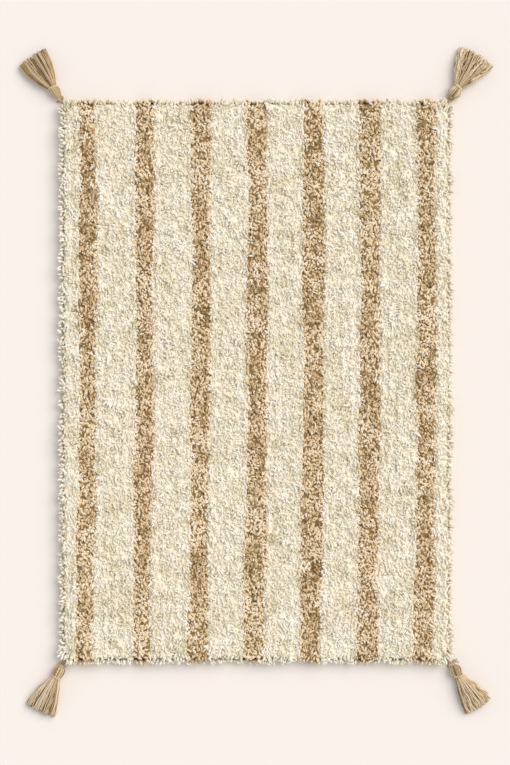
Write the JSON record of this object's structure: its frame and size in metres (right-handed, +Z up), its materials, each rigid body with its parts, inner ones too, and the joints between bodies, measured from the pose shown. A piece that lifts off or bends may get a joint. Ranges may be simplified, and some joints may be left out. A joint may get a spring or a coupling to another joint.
{
  "type": "bath mat",
  "caption": "Rectangular shaggy cotton bath mat with lengthwise two-tone stripes and a yarn tassel hung from each corner.",
  "frame": {"origin": "middle of the mat's underside, on the floor that it lies on", "axes": "+Z up from the floor through the pile, +Y along the mat's length towards its head end, +X across its width"},
  "size_m": [0.5958, 0.8445, 0.0191],
  "materials": {
    "canvas": "matte",
    "latex": "matte",
    "thread": "matte",
    "cream_pile": "matte",
    "tan_pile": "matte",
    "tassel_yarn": "matte"
  },
  "bodies": {
    "mat": {"backing_cloth": "canvas", "grip_coat": "latex", "hem_left": "canvas", "hem_right": "canvas", "hem_head_end": "canvas", "hem_foot_end": "canvas", "hem_thread": "thread", "pile_cream_1": "cream_pile", "pile_cream_2": "cream_pile", "pile_cream_3": "cream_pile", "pile_cream_4": "cream_pile", "pile_cream_5": "cream_pile", "pile_cream_6": "cream_pile", "pile_cream_7": "cream_pile", "pile_cream_8": "cream_pile", "pile_tan_1": "tan_pile", "pile_tan_2": "tan_pile", "pile_tan_3": "tan_pile", "pile_tan_4": "tan_pile", "pile_tan_5": "tan_pile", "pile_tan_6": "tan_pile", "pile_tan_7": "tan_pile"},
    "tether_tl": {"cord_tl": "tassel_yarn"},
    "tassel_tl": {"head_tl": "tassel_yarn", "binding_tl": "tassel_yarn", "skirt_tl": "tassel_yarn"},
    "tether_tr": {"cord_tr": "tassel_yarn"},
    "tassel_tr": {"head_tr": "tassel_yarn", "binding_tr": "tassel_yarn", "skirt_tr": "tassel_yarn"},
    "tether_bl": {"cord_bl": "tassel_yarn"},
    "tassel_bl": {"head_bl": "tassel_yarn", "binding_bl": "tassel_yarn", "skirt_bl": "tassel_yarn"},
    "tether_br": {"cord_br": "tassel_yarn"},
    "tassel_br": {"head_br": "tassel_yarn", "binding_br": "tassel_yarn", "skirt_br": "tassel_yarn"}
  },
  "joints": [
    {"name": "swing_tl", "type": "hinge", "parent": "mat", "child": "tether_tl", "pos_m": [-0.24, 0.347, 0.0026], "axis": [0, 0, 1], "range_deg": [-45, 65]},
    {"name": "lift_tl", "type": "hinge", "parent": "tether_tl", "child": "tassel_tl", "pos_m": [-0.24774, 0.35806, 0.0078], "axis": [0.8192, 0.5736, 0], "range_deg": [0, 90]},
    {"name": "swing_tr", "type": "hinge", "parent": "mat", "child": "tether_tr", "pos_m": [0.24, 0.347, 0.0026], "axis": [0, 0, 1], "range_deg": [-69, 41]},
    {"name": "lift_tr", "type": "hinge", "parent": "tether_tr", "child": "tassel_tr", "pos_m": [0.24695, 0.35857, 0.0078], "axis": [0.8572, -0.515, 0], "range_deg": [0, 90]},
    {"name": "swing_bl", "type": "hinge", "parent": "mat", "child": "tether_bl", "pos_m": [-0.24, -0.347, 0.0026], "axis": [0, 0, 1], "range_deg": [-75, 35]},
    {"name": "lift_bl", "type": "hinge", "parent": "tether_bl", "child": "tassel_bl", "pos_m": [-0.24571, -0.35924, 0.0078], "axis": [-0.9063, 0.4226, 0], "range_deg": [0, 90]},
    {"name": "swing_br", "type": "hinge", "parent": "mat", "child": "tether_br", "pos_m": [0.24, -0.347, 0.0026], "axis": [0, 0, 1], "range_deg": [-43, 67]},
    {"name": "lift_br", "type": "hinge", "parent": "tether_br", "child": "tassel_br", "pos_m": [0.24735, -0.35832, 0.0078], "axis": [-0.8387, -0.5446, 0], "range_deg": [0, 90]}
  ]
}
